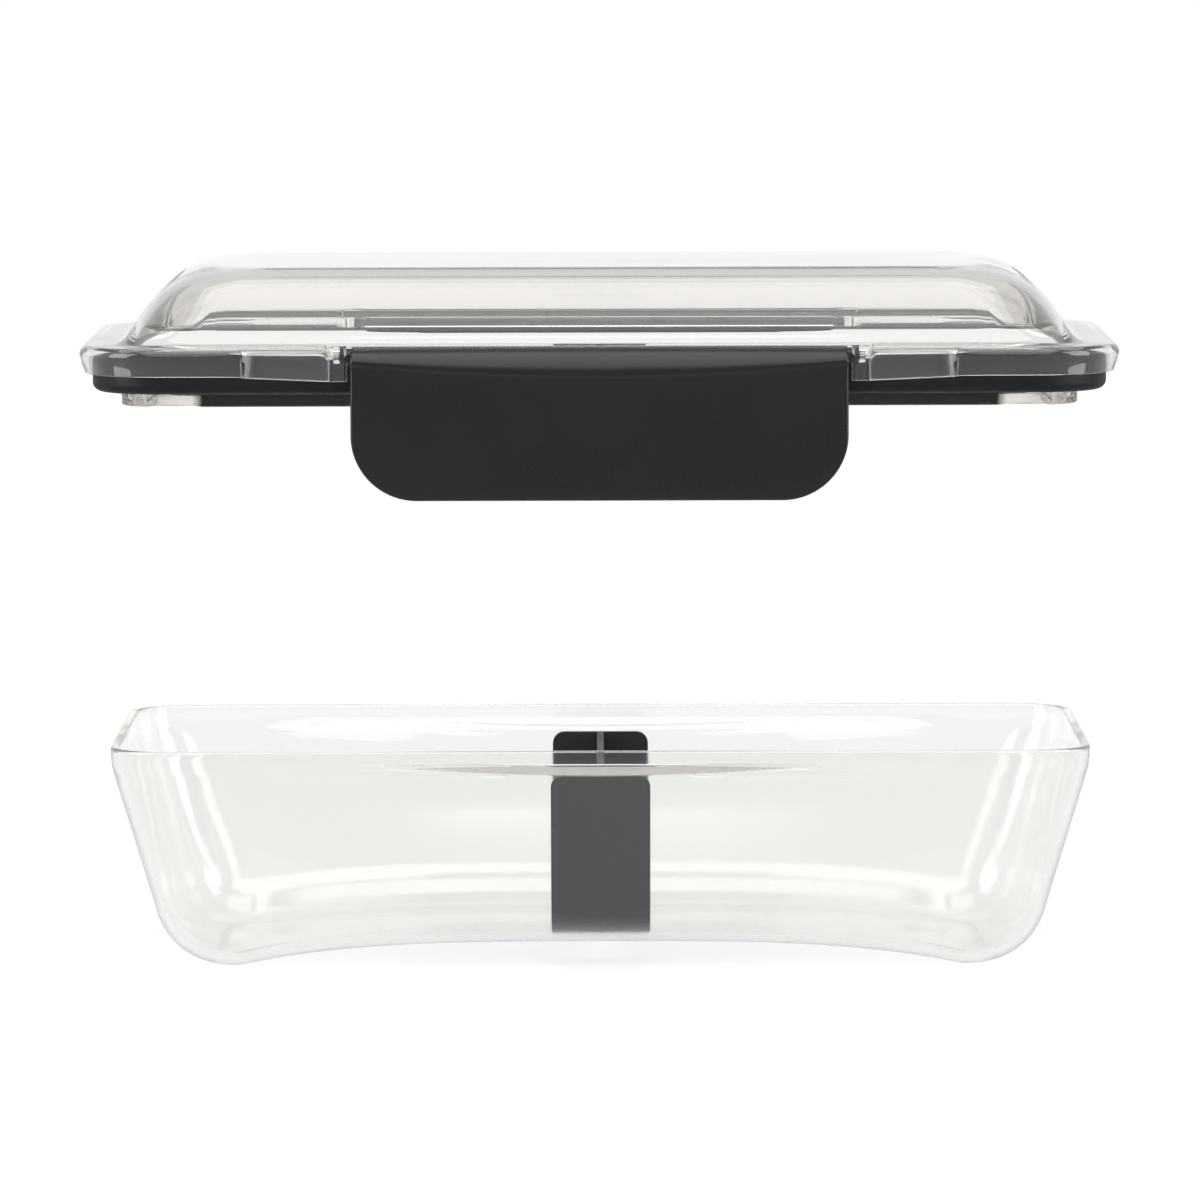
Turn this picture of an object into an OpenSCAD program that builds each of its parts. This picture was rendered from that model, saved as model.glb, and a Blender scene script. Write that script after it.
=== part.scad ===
// Clear lunch box: container, lift-out divider, domed lid with its seal, and two snap latches.
// X runs along the width, -Y is the front and +Z is up. The origin is the middle of the
// footprint, on the table. The lid and its latches are drawn raised above the container.

/* [Container] */
// Outer width across the rim
rim_w = 204; // [198:1:206]
// Outer depth across the rim
rim_d = 86; // [84:1:90]
// Height from the table to the rim
rim_z = 47.5; // [45:0.5:56]
// Corner radius of the rim in plan
rim_r = 12; // [10:1:14]
// Corner radius in plan just above the floor rounding
waist_r = 18; // [16:1:19]
// Wall thickness
wall = 1.8; // [1.5:0.1:2.2]
// Lean of the two end walls from the vertical
end_draft = 14.5; // [12:0.5:18]
// Lean of the front and back walls from the vertical
face_draft = 15; // [10:1:16]
// Radius between the walls and the floor
floor_r = 15; // [10:1:16]
// Rise of the arch under the middle of the floor
arch_h = 4.6; // [2:0.1:6]
// Half span of that arch, from the middle to a foot
arch_half = 76; // [68:1:77]
// How far the front and back walls are drawn in at the middle
waist_d = 2.2; // [1.8:0.1:3]
// Half width of the drawn-in part and of the catch lip
waist_half = 79; // [76:1:82]
// Depth of the crescent catch lip at its middle
lip_h = 5.2; // [4.8:0.1:6]
// Depth below the rim at which the drawn-in part starts
waist_from = 2.8; // [2.7:0.1:3.2]

/* [Lid] */
// Outer width of the lid skirt
lid_w = 215.5; // [213:0.5:218]
// Outer depth of the lid skirt
lid_d = 98; // [96:1:101]
// Corner radius of the skirt in plan
lid_r = 18; // [16:1:20]
// Thickness of the flange and the dome
lid_t = 1.8; // [1.5:0.1:2.2]
// Thickness of the skirt
skirt_t = 1.6; // [1.3:0.1:1.8]
// Height of the skirt
skirt_h = 5.8; // [5:0.1:7]
// How far the locating tongue reaches below the flange top
tongue_h = 12.4; // [11:0.1:13]
// Inset of the tongue's outer face from the rim's outer face
tongue_inset = 2.65; // [2.4:0.05:3]
// Height of the dome above the flange
dome_h = 15.7; // [13:0.1:18]
// Slope of the dome's ends and the radius at their top
dome_end = [55, 20]; // [50:1:60]
// Slope of the dome's long sides and the radius at their top
dome_face = [68, 12]; // [64:1:72]
// Half width and half depth of the dome's foot
dome_foot = [99.3, 42.5]; // [90:0.1:100]
// Height at which the lid is held over its seat
lift = 74; // [60:1:90]

/* [Seal] */
// Depth of the seal below the flange top
seal_h = 9.5; // [8.5:0.1:10]
// Inset of the seal's outer face from the skirt's outer face
seal_inset = 2.7; // [2.2:0.1:3]
// Gap between the seal and the rim of the closed box
seat_gap = 0.3; // [0.2:0.05:0.5]

/* [Latches] */
// Width of a latch
latch_w = 102.7; // [96:0.1:106]
// Height of a latch from its top edge to its bottom edge
latch_h = 31.4; // [28:0.1:34]
// Radius of its two lower corners
latch_r = 13.5; // [10:0.5:15]
// Radius of the rolled top edge
roll_r = 5.5; // [5:0.1:5.6]
// Radius of the two hinge pins
pin_r = 1.6; // [1.3:0.1:1.7]
// Length of each hinge pin
pin_l = 2.35; // [2:0.05:2.6]
// Running clearance round the pins
pin_gap = 0.05; // [0.03:0.01:0.1]
// Half width of the hook that snaps under the catch lip
hook_half = 38; // [30:1:42]
// Thickness of the hook
hook_t = 1.6; // [1.3:0.1:2]

/* [Divider] */
// Thickness of the divider
divider_t = 1.5; // [1.2:0.1:2]
// Width of its end flanges at the top
flange_w = 20.7; // [16:0.1:24]
// Width of its end flanges at the foot
flange_foot_w = 20.7; // [12:0.1:20.7]
// Distance from the rim down to the top of the divider
divider_drop = 5.5; // [5:0.1:9]
// Clearance between the divider and the container
divider_gap = 0.35; // [0.3:0.05:0.5]

/* [Hidden] */

corner_steps = 7;
side_steps = 16;
knee_z = 2;
knee_r = 16;
arch_fade = 28;
arch_power = 3.5;
foot_cut = 0.3;
lip_r = waist_half * waist_half / (2 * lip_h);
lid_z = rim_z + seat_gap + seal_h + lift;
tongue = [rim_w / 2 - tongue_inset, rim_d / 2 - tongue_inset];
tongue_r = rim_r - tongue_inset;
seal = [lid_w / 2 - seal_inset, lid_d / 2 - seal_inset];
seal_clear = 0.05;
dome_r = 14;
dome_top_r = 12;

// Ears that carry the latch pins, as places from the middle of the front edge
ear_in = latch_w / 2 + 0.35;
ear_out = ear_in + 3.8;
ear_y = lid_d / 2 + 3.6;
ear_top = 0.8;
ear_h = 6.4;
bulge_x = 74;
bulge_step = 1.5;
notch_y = lid_d / 2 - 2.4;
hinge_y = lid_d / 2 + 1;
hinge_z = -1.3;
latch_front = lid_d / 2 + 4.45;
latch_top = 0.5;
latch_back = 2.1;
plate_t = 2.4;
hook_tip = rim_d / 2 - 0.9;
hook_gap = 0.3;
gusset_x = 22;
gusset_h = 8;

clear_tint = [0.86, 0.9, 0.88, 0.35];
latch_tint = [0.16, 0.16, 0.17];
seal_tint = [0.08, 0.08, 0.09];
divider_tint = [0.3, 0.3, 0.31];

// ---- Outlines and skins ----

function mix(a, b, t) = a + (b - a) * min(1, max(0, t));

function arc_pts(c, r, from) = [
    for (i = [0:corner_steps])
        let (a = from + 90 * i / corner_steps)
        [c[0] + r * cos(a), c[1] + r * sin(a)]
];

function side_pts(from, to, y) = [
    for (i = [1:side_steps - 1]) [mix(from, to, i / side_steps), y]
];

// Rounded rectangle of half width hx and half depth hy, anticlockwise
function outline(hx, hy, r) = let (cx = hx - r, cy = hy - r) concat(
    arc_pts([cx, cy], r, 0),
    side_pts(cx, -cx, hy),
    arc_pts([-cx, cy], r, 90),
    arc_pts([-cx, -cy], r, 180),
    side_pts(-cx, cx, -hy),
    arc_pts([cx, -cy], r, 270)
);

function centre_of(ring) = [for (k = [0:2]) [for (p = ring) 1] * [for (p = ring) p[k]] / len(ring)];

// Closed solid through rings that are listed from the bottom up
module skin(rings) {
    n = len(rings[0]);
    m = len(rings);
    points = concat([centre_of(rings[0])], [for (ring = rings) each ring], [centre_of(rings[m - 1])]);
    bottom = [for (j = [0:n - 1]) [0, 1 + j, 1 + (j + 1) % n]];
    top = [for (j = [0:n - 1]) let (k = 1 + (m - 1) * n) [1 + m * n, k + (j + 1) % n, k + j]];
    walls = [
        for (i = [0:m - 2], j = [0:n - 1])
            let (a = 1 + i * n + j, b = 1 + i * n + (j + 1) % n)
            each [[a, b + n, b], [a, a + n, b + n]]
    ];
    polyhedron(points, concat(bottom, walls, top), convexity = 6);
}

module rounded(hx, hy, r) {
    square([2 * hx, 2 * (hy - r)], center = true);
    square([2 * (hx - r), 2 * hy], center = true);
    for (sx = [-1, 1], sy = [-1, 1])
        translate([sx * (hx - r), sy * (hy - r)])
            circle(r, $fn = 64);
}

module slab(hx, hy, r, z0, z1) {
    translate([0, 0, z0])
        linear_extrude(z1 - z0)
            rounded(hx, hy, r);
}

// ---- Container ----

// Inset of a wall at a depth below the rim: upright, then eased over to its lean
function lean(depth, draft) =
    let (d = depth - knee_z, bend = knee_r * sin(draft))
    d <= 0 ? 0
    : d < bend ? knee_r - sqrt(knee_r * knee_r - d * d)
    : knee_r * (1 - cos(draft)) + (d - bend) * tan(draft);

// Half size of the container at height z, for a surface that lies skin_in inside the outer one
function half_at(half, draft, skin_in, z) =
    let (
        touch = floor_r * (1 - sin(draft)),
        centre = half - lean(rim_z - touch, draft) - floor_r * cos(draft),
        r = floor_r - skin_in
    )
    z >= floor_r - r * sin(draft)
        ? half - lean(rim_z - z, draft) - skin_in / cos(draft)
        : centre + sqrt(max(0, r * r - (floor_r - z) * (floor_r - z)));

function plan_r(skin_in, z) =
    let (touch = floor_r - (floor_r - skin_in) * sin(end_draft))
    z >= touch
        ? mix(waist_r, rim_r, (z - touch) / (rim_z - touch)) - skin_in
        : waist_r - skin_in
            - (half_at(rim_w / 2, end_draft, skin_in, touch) - half_at(rim_w / 2, end_draft, skin_in, z));

function arch(x) = arch_h * max(0, 1 - pow(abs(x) / arch_half, arch_power)) - foot_cut;
function waist(x, z) = waist_d * max(0, 1 - pow(x / waist_half, 2))
    * mix(0, 1, (rim_z - z - waist_from) / (lip_h - waist_from));
function raised(x, z) = z + arch(x) * mix(1, 0, z / arch_fade);

// One ring of the container; shrink draws the ring in over the floor
function body_ring(skin_in, z, shrink = 1) =
    let (
        hx = half_at(rim_w / 2, end_draft, skin_in, z),
        hy = half_at(rim_d / 2, face_draft, skin_in, z)
    )
    [for (p = outline(hx, hy, plan_r(skin_in, z)) * shrink)
        [p[0], p[1] * (1 - waist(p[0], z) / hy), raised(p[0], z)]];

function body_rings(skin_in) = concat(
    [for (s = [0.1:0.15:0.85]) body_ring(skin_in, skin_in, s)],
    [for (a = [90:-10:20]) body_ring(skin_in, floor_r - (floor_r - skin_in) * sin(a))],
    [for (z = [floor_r - 2, 18, arch_fade]) body_ring(skin_in, z)],
    [for (d = [10, 7, lip_h, (lip_h + waist_from) / 2, waist_from, knee_z, 0]) body_ring(skin_in, rim_z - d)]
);

// Crescent lips under the rim, at the front and the back, with a level edge for the hooks
module catch_lips() {
    intersection() {
        slab(rim_w / 2, rim_d / 2, rim_r, rim_z - lip_h, rim_z);
        translate([0, 0, rim_z - lip_h + lip_r])
            rotate([90, 0, 0])
                cylinder(h = rim_d, r = lip_r, center = true, $fn = 720);
    }
}

module container() {
    over = [for (p = body_ring(wall, rim_z)) [p[0], p[1], rim_z + 1]];
    color(clear_tint)
        difference() {
            union() {
                skin(body_rings(0));
                catch_lips();
            }
            skin(concat(body_rings(wall), [over]));
            translate([0, 0, -rim_z / 2])
                cube([rim_w, rim_d, rim_z], center = true);
        }
}

// ---- Divider ----

// Inner wall of the container in the plane of the divider, as [y, z], moved in by gap
function inner_wall(z, gap) = [
    half_at(rim_d / 2, face_draft, wall, z) - waist(0, z) - gap,
    raised(0, z) + (z < floor_r ? gap * (floor_r - z) / (floor_r - wall) : 0)
];

divider_z = [for (a = [90:-10:20]) floor_r - (floor_r - wall) * sin(a), floor_r - 2, 18, 28, 36];
divider_top = rim_z - divider_drop;

function wall_line(gap, levels) = [for (z = levels) inner_wall(z, gap), inner_wall(divider_top, gap)];
function flipped(line) = [for (i = [len(line) - 1:-1:0]) [-line[i][0], line[i][1]]];

module divider() {
    line = wall_line(divider_gap, divider_z);
    high = [for (z = divider_z) if (z > wall + 2.5) z];
    outer = wall_line(divider_gap, high);
    inner = wall_line(divider_gap + divider_t, high);
    strip = concat(outer, [for (i = [len(inner) - 1:-1:0]) inner[i]]);
    color(divider_tint) {
        rotate([90, 0, 90])
            linear_extrude(divider_t, center = true)
                polygon(concat(line, flipped(line)));
        intersection() {
            for (s = [-1, 1])
                scale([1, s, 1])
                    rotate([90, 0, 90])
                        linear_extrude(flange_w, center = true)
                            polygon(strip);
            rotate([90, 0, 0])
                linear_extrude(rim_d, center = true)
                    flange_outline();
        }
    }
}

// Front view of an end flange, with rounded upper corners
module flange_outline() {
    corner = 2.5;
    top = flange_w / 2;
    foot = flange_foot_w / 2;
    polygon([[-foot, 0], [foot, 0], [top, divider_top - corner], [-top, divider_top - corner]]);
    translate([-top + corner, divider_top - 2 * corner])
        square([flange_w - 2 * corner, 2 * corner]);
    for (s = [-1, 1])
        translate([s * (top - corner), divider_top - corner])
            circle(corner, $fn = 48);
}

// ---- Lid ----

// Half size of the dome at height z above the flange, for a surface that lies skin_in inside
function dome_half(foot, form, skin_in, z) =
    let (
        slope = form[0],
        r = form[1],
        centre_z = dome_h - r,
        touch = centre_z + r * cos(slope),
        centre = foot - touch / tan(slope) - r * sin(slope),
        rin = r - skin_in
    )
    z >= centre_z + rin * cos(slope)
        ? centre + sqrt(max(0, rin * rin - (z - centre_z) * (z - centre_z)))
        : foot - z / tan(slope) - skin_in / sin(slope);

function dome_ring(skin_in, z, shrink = 1) =
    [for (p = outline(
            dome_half(dome_foot[0], dome_end, skin_in, z),
            dome_half(dome_foot[1], dome_face, skin_in, z),
            mix(dome_r, dome_top_r, z / dome_h) - skin_in / 2) * shrink)
        [p[0], p[1], z]];

function dome_rings(skin_in, foot_z) =
    let (top = dome_h - skin_in, steps = 12)
    concat(
        [dome_ring(skin_in, foot_z)],
        [for (i = [1:steps]) dome_ring(skin_in, top * (1 - pow(1 - i / steps, 2)))],
        [dome_ring(skin_in, top, 0.5)]
    );

// Plan of one ear and the swelling of the skirt that leads to it, drawn in by inset
module ear_plan(inset) {
    polygon([
        [ear_in, notch_y - 2],
        [ear_in, ear_y - inset],
        [ear_out, ear_y - inset],
        [bulge_x - 1.5 - inset, lid_d / 2 + bulge_step - inset],
        [bulge_x - inset, lid_d / 2 - inset],
        [bulge_x - inset, notch_y - 2]
    ]);
}

// Repeats a front or back detail at both sides and both ends
module at_four() {
    for (sx = [-1, 1], sy = [-1, 1])
        scale([sx, sy, 1])
            children();
}

module ears() {
    at_four() {
        translate([0, 0, -ear_h])
            linear_extrude(ear_h)
                ear_plan(0);
        translate([ear_in, hinge_y - 3, -ear_h])
            cube([ear_out - ear_in, ear_y - hinge_y + 3, ear_h + ear_top]);
    }
}

module ear_hollows() {
    at_four()
        translate([0, 0, -ear_h - 1])
            linear_extrude(ear_h + 1 - lid_t)
                intersection() {
                    ear_plan(skirt_t);
                    translate([ear_out, 0])
                        square(lid_w);
                }
}

module lid() {
    color(clear_tint)
        translate([0, 0, lid_z])
            difference() {
                union() {
                    skin(dome_rings(0, -lid_t / 2));
                    slab(lid_w / 2, lid_d / 2, lid_r, -skirt_h, 0);
                    slab(tongue[0], tongue[1], tongue_r, -tongue_h, -1);
                    ears();
                }
                skin(dome_rings(lid_t, -lid_t));
                slab(tongue[0] - lid_t, tongue[1] - lid_t, tongue_r - lid_t, -tongue_h - 1, 0);
                difference() {
                    slab(lid_w / 2 - skirt_t, lid_d / 2 - skirt_t, lid_r - skirt_t, -ear_h - 1, -lid_t);
                    slab(tongue[0], tongue[1], tongue_r, -tongue_h, 0);
                }
                ear_hollows();
                for (s = [-1, 1])
                    scale([1, s, 1])
                        translate([-ear_in, notch_y, -tongue_h])
                            cube([2 * ear_in, lid_d, 2 * tongue_h]);
                at_four()
                    translate([ear_in - 1, hinge_y, hinge_z])
                        rotate([0, 90, 0])
                            cylinder(h = pin_l + 1, r = pin_r + pin_gap, $fn = 48);
            }
}

module gasket() {
    color(seal_tint)
        translate([0, 0, lid_z])
            difference() {
                slab(seal[0], seal[1], lid_r - seal_inset, -seal_h, -lid_t);
                slab(tongue[0] + seal_clear, tongue[1] + seal_clear, tongue_r + seal_clear, -seal_h - 1, 0);
            }
}

// ---- Latches ----

// Side view of a latch as [distance from the lid's middle, height]: rolled top over a flat plate
module latch_side() {
    back = hinge_y - latch_back;
    roll_y = latch_front - roll_r;
    roll_z = latch_top - roll_r;
    intersection() {
        translate([roll_y, roll_z])
            circle(roll_r, $fn = 96);
        translate([back, roll_z])
            square([roll_r * 2, roll_r * 2]);
    }
    translate([latch_front - plate_t, latch_top - latch_h])
        square([plate_t, latch_h + roll_z - latch_top]);
}

// Front view of a latch: square upper corners and rounded lower ones
module latch_front_view() {
    half = latch_w / 2;
    low = latch_top - latch_h;
    translate([-half, low + latch_r])
        square([latch_w, latch_h - latch_r]);
    translate([-half + latch_r, low])
        square([latch_w - 2 * latch_r, latch_h]);
    for (s = [-1, 1])
        translate([s * (half - latch_r), low + latch_r])
            circle(latch_r, $fn = 96);
}

// Shelf that snaps under the crescent lip, with the lip's own curve, and the webs under it
module hook() {
    top = -seal_h - seat_gap - lip_h - hook_gap;
    root = latch_front - plate_t / 2;
    intersection() {
        translate([-hook_half, hook_tip, top - hook_t - 1])
            cube([2 * hook_half, root - hook_tip, hook_t + 5]);
        translate([0, 0, top + lip_r])
            rotate([90, 0, 0])
                difference() {
                    cylinder(h = 3 * lid_d, r = lip_r + hook_t, center = true, $fn = 720);
                    cylinder(h = 4 * lid_d, r = lip_r, center = true, $fn = 720);
                }
    }
    for (x = [-gusset_x, 0, gusset_x])
        translate([x, 0, 0])
            rotate([90, 0, 90])
                linear_extrude(hook_t, center = true)
                    polygon([
                        [root, top - 1],
                        [hook_tip + 3, top - 1],
                        [root, top - 1 - gusset_h]
                    ]);
}

// A latch on the +Y side
module latch() {
    color(latch_tint)
        translate([0, 0, lid_z]) {
            intersection() {
                rotate([90, 0, 90])
                    linear_extrude(latch_w, center = true)
                        latch_side();
                translate([0, lid_d, 0])
                    rotate([90, 0, 0])
                        linear_extrude(lid_d)
                            latch_front_view();
            }
            hook();
            for (s = [-1, 1])
                translate([s * (latch_w / 2 + pin_l / 2 - 0.5), hinge_y, hinge_z])
                    rotate([0, 90, 0])
                        cylinder(h = pin_l + 0.3, r = pin_r, center = true, $fn = 48);
        }
}

module front_latch() {
    rotate([0, 0, 180])
        latch();
}

module rear_latch() {
    latch();
}

container();
divider();
lid();
gasket();
front_latch();
rear_latch();
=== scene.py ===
"""Looks of a clear lunch box: container, lift-out divider, domed lid with its seal, and two snap latches.

Lengths are in millimetres in the shape functions, with Z up and the front at -Y, and in metres in Blender.
"""
import math

import bmesh
import bpy
import numpy as np
from mathutils import Matrix, Vector


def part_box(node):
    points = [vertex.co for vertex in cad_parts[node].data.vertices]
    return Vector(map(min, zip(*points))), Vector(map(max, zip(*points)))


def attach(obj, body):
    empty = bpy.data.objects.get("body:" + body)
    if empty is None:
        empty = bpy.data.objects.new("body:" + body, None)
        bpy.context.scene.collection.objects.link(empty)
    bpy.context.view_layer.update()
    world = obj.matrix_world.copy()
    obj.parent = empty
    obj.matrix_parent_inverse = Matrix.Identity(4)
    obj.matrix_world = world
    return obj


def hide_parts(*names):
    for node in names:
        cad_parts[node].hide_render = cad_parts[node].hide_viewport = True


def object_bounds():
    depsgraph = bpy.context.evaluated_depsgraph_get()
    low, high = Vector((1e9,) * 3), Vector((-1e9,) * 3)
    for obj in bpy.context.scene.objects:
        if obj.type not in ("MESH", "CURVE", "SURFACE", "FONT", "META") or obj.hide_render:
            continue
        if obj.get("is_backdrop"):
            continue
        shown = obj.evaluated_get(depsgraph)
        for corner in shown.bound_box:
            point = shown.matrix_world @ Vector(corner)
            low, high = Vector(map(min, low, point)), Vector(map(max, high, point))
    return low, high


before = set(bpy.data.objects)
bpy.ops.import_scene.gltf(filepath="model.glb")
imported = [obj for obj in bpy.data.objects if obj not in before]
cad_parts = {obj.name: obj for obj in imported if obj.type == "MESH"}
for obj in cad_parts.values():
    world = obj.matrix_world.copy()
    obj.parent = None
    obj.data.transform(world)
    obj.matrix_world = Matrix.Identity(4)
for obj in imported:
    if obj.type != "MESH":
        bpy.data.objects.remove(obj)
cad_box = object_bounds()

MM = 0.001


def corner_mm(node):
    """Highest corner of a CAD node at rest, in millimetres."""
    return np.array(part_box(node)[1]) / MM


# ---- Sizes taken from the frame ----
RIM_X, RIM_Y, RIM_Z = corner_mm("container")
LID_X, EAR_Y, LID_TOP = corner_mm("lid")
SEAL_X, _, SEAL_TOP = corner_mm("gasket")
LATCH_PIN_X, LATCH_FRONT, LATCH_TOP_Z = corner_mm("rear_latch")
DIVIDER_FLANGE_X, _, DIVIDER_TOP = corner_mm("divider")

# ---- Container ----
WALL = 1.8
RIM_R = 12.0  # corner radius in plan at the rim
WAIST_R = 18.0  # the same where the walls meet the floor rounding
END_DRAFT = math.radians(14.5)
FACE_DRAFT = math.radians(15)
FLOOR_R = 15.0
ARCH_H = 4.6  # rise of the arched underside
ARCH_HALF = 76.0
ARCH_POWER = 3.5
ARCH_FADE = 28.0  # height above which the arch no longer lifts the walls
FOOT_CUT = 0.3  # depth by which the arch is sunk, to leave flat feet
WAIST_D = 2.2  # how far the middles of the front and back walls are drawn in
WAIST_HALF = 79.0
WAIST_FROM = 2.8  # depth below the rim at which that begins
LIP_H = 5.2  # depth of the crescent lip in the middle
LIP_R = WAIST_HALF ** 2 / (2 * LIP_H)
LIP_LEAST = 1.0
LIP_BLEND = 0.4
LIP_EDGE = 0.35
KNEE_Z = 2.0  # depth below the rim at which the walls start to lean
KNEE_R = 16.0
RIM_EDGE = 0.5
WALL_MID = 34.0  # height above which the wall's rings close up to the lip
FLOOR_SHRINKS = (0.03, 0.12, 0.25, 0.4, 0.55, 0.7, 0.83, 0.93)
FLOOR_TURN = np.radians(np.linspace(90, 16, 20))  # angles round the floor rounding, up to the wall

# ---- Lid, with heights measured from the top of its flange ----
LID_T = 1.8
LID_Z = SEAL_TOP + LID_T
LID_R = 18.0
LID_Y = EAR_Y - 3.6
FLANGE_EDGE = 1.8  # rounding of the flange at the ends, and by the ears
EAR_EDGE = 0.6
SKIRT_T = 1.6
SKIRT_H = 5.8
SKIRT_LEAN = 1.1  # how far the skirt leans in at the ends
SKIRT_FOOT = 0.35
SKIRT_TURN = 8.0  # length beyond the bulge along which the skirt takes on the form of the ends
ROOF_T = 0.85  # thickness over the seal's channel beyond the ears
TONGUE_H = 12.4
TONGUE_IN = 8.65
TONGUE_TIP = 0.45
DOME_H = LID_TOP - LID_Z
DOME_END = (math.radians(55), 20.0)  # slope and upper radius
DOME_FACE = (math.radians(68), 12.0)
DOME_FOOT = (99.3, 42.5)
DOME_FOOT_R = 14.0  # corner radii in plan
DOME_TOP_R = 12.0
DOME_FILLET = 4.5
DOME_LOW = 3.0  # height at which the inside of the dome begins
DOME_STEPS = 30
DOME_SHRINKS = (0.03, 0.15, 0.3, 0.45, 0.6, 0.75, 0.87, 0.95)
EAR_IN = 51.7
EAR_OUT = 55.5
EAR_H = 6.4
EAR_TOP = 0.8
EAR_GROOVE = 0.4  # depth and half width of the groove beside an ear
GROOVE_HALF = 0.25
EAR_BEVEL = 0.4
EAR_BEVEL_X = 0.5
STEP = 0.02  # length of a step that has to look square
BULGE_END = 70.5
BULGE_X = 74.0
BULGE_Y = 1.5
NOTCH_IN = 2.4  # how far in the flange's edge and the channel begin behind a latch
NOTCH_BACK = 3.4
PIN_R = 1.6
PIN_FIT = -0.02  # the pins fill their holes, because a gap of air would look white
HINGE_Y = LID_Y + 1
HINGE_Z = -1.3

# ---- Seal and latches ----
SEAL_H = 9.5
SEAL_R = 1.9
SEAL_GAP = 0.04  # between the seal and the roof of its channel
SEAL_LAG = 0.8  # how far beyond the roof the seal starts to rise
LATCH_HALF = LATCH_PIN_X - 2.35
LATCH_TOP = LATCH_TOP_Z - LID_Z
LATCH_H = 31.4
LATCH_R = 13.5
LATCH_T = 2.4
LATCH_EDGE = 0.55
ROLL_R = 5.5
CREASE_Z = 5.6  # depth of the crease below the latch's top, and how strongly it curves
CREASE_CURVE = 1000.0
CREASE_D = 0.28
CREASE_RUN = 0.9
HOOK_T = 1.6
HOOK_HALF = 38.0
HOOK_TIP = RIM_Y - 0.9
HOOK_EDGE = 0.5
SEAT_GAP = 0.3  # closed box: between the seal and the rim
HOOK_GAP = 0.3  # closed box: between the hook and the lip
HOOK_TOP = -SEAL_H - SEAT_GAP - LIP_H - HOOK_GAP
GUSSET_X = 22.0
GUSSET_H = 8.0

# ---- Divider ----
DIVIDER_T = 1.5
DIVIDER_GAP = 0.35
DIVIDER_EDGE = 0.3
FLANGE_LIFT = 0.5  # height of the flanges' lower edge above the floor
FLANGE_CORNER = 2.5

# ---- The camera, as fitted to the photograph's rim, lid and feet ----
PHOTO_SIDE = 1200
FOCAL_PX = 7354
CAMERA_AT = (0.0, -1.553, 0.2329)
CAMERA_PITCH = math.radians(5.82)
CAMERA_ROLL = math.radians(-0.15)
SENSOR = 36.0

# ---- Light paths: light that is trapped in a clear plate needs many bounces ----
CLEAR_BOUNCES = 64
SHADOW_BOUNCES = 24


# ======================================================================================
# Mesh helpers
# ======================================================================================
class Columns:
    """Places round a rounded rectangle. All rings made from them have their points in the same columns."""

    def __init__(self, side, ends, corner):
        angles = np.linspace(0, math.pi / 2, corner + 1)
        end = [(1, k / ends, 1, 0) for k in range(ends)]
        arc = [(1, 1, math.cos(a), math.sin(a)) for a in angles]
        long_side = [(f, 1, 0, 1) for f in side]
        quarter = np.array(end + arc + long_side, float)
        plus, minus = np.array([1.0, 1.0, 1.0, 1.0]), np.array([-1.0, 1.0, -1.0, 1.0])
        under, back = np.array([-1.0, -1.0, -1.0, -1.0]), np.array([1.0, -1.0, 1.0, -1.0])
        every = np.vstack([
            quarter * plus,
            quarter[:-1][::-1] * minus,
            quarter[1:] * under,
            quarter[1:-1][::-1] * back,
        ])
        self.flat, self.round = every[:, :2], every[:, 2:]
        self.n = len(every)

    def ring(self, hx, hy, r, z):
        """Points of a rounded rectangle of half sizes hx and hy. The values may differ between columns."""
        hx, hy, r, z = (np.broadcast_to(np.asarray(v, float), (self.n,)) for v in (hx, hy, r, z))
        x = (hx - r) * self.flat[:, 0] + r * self.round[:, 0]
        y = (hy - r) * self.flat[:, 1] + r * self.round[:, 1]
        return np.column_stack([x, y, z])


def add_mesh(name, points, faces):
    """Mesh object from points in millimetres, with its faces turned outwards."""
    mesh = bpy.data.meshes.new(name)
    mesh.from_pydata([tuple(p * MM) for p in np.asarray(points, float)], [], faces)
    bm = bmesh.new()
    bm.from_mesh(mesh)
    bmesh.ops.recalc_face_normals(bm, faces=bm.faces)
    bm.to_mesh(mesh)
    bm.free()
    obj = bpy.data.objects.new(name, mesh)
    bpy.context.scene.collection.objects.link(obj)
    return obj


def loft_round(name, rings):
    """Closed solid through rings, which starts and ends in the middle of its first and last ring."""
    n, m = len(rings[0]), len(rings)
    points = np.vstack([rings[0].mean(0)] + list(rings) + [rings[-1].mean(0)])
    faces = [(0, 1 + j, 1 + (j + 1) % n) for j in range(n)]
    for i in range(m - 1):
        a, b = 1 + i * n, 1 + (i + 1) * n
        faces += [(a + j, a + (j + 1) % n, b + (j + 1) % n, b + j) for j in range(n)]
    last = 1 + (m - 1) * n
    faces += [(last + j, last + (j + 1) % n, m * n + 1) for j in range(n)]
    return add_mesh(name, points, faces)


def loft_hoop(name, rings):
    """Closed hoop through rings, whose last ring joins its first."""
    n, m = len(rings[0]), len(rings)
    faces = []
    for i in range(m):
        a, b = i * n, (i + 1) % m * n
        faces += [(a + j, a + (j + 1) % n, b + (j + 1) % n, b + j) for j in range(n)]
    return add_mesh(name, np.vstack(rings), faces)


def loft_across(name, places, loop_at):
    """Closed solid along X through the loops, lists of (y, z), that loop_at gives at each place."""
    loops = [[(x, y, z) for y, z in loop_at(x)] for x in places]
    n, m = len(loops[0]), len(loops)
    faces = [tuple(range(n)), tuple(range((m - 1) * n, m * n))]
    for i in range(m - 1):
        a, b = i * n, (i + 1) * n
        faces += [(a + j, a + (j + 1) % n, b + (j + 1) % n, b + j) for j in range(n)]
    return add_mesh(name, np.array([p for loop in loops for p in loop]), faces)


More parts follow.
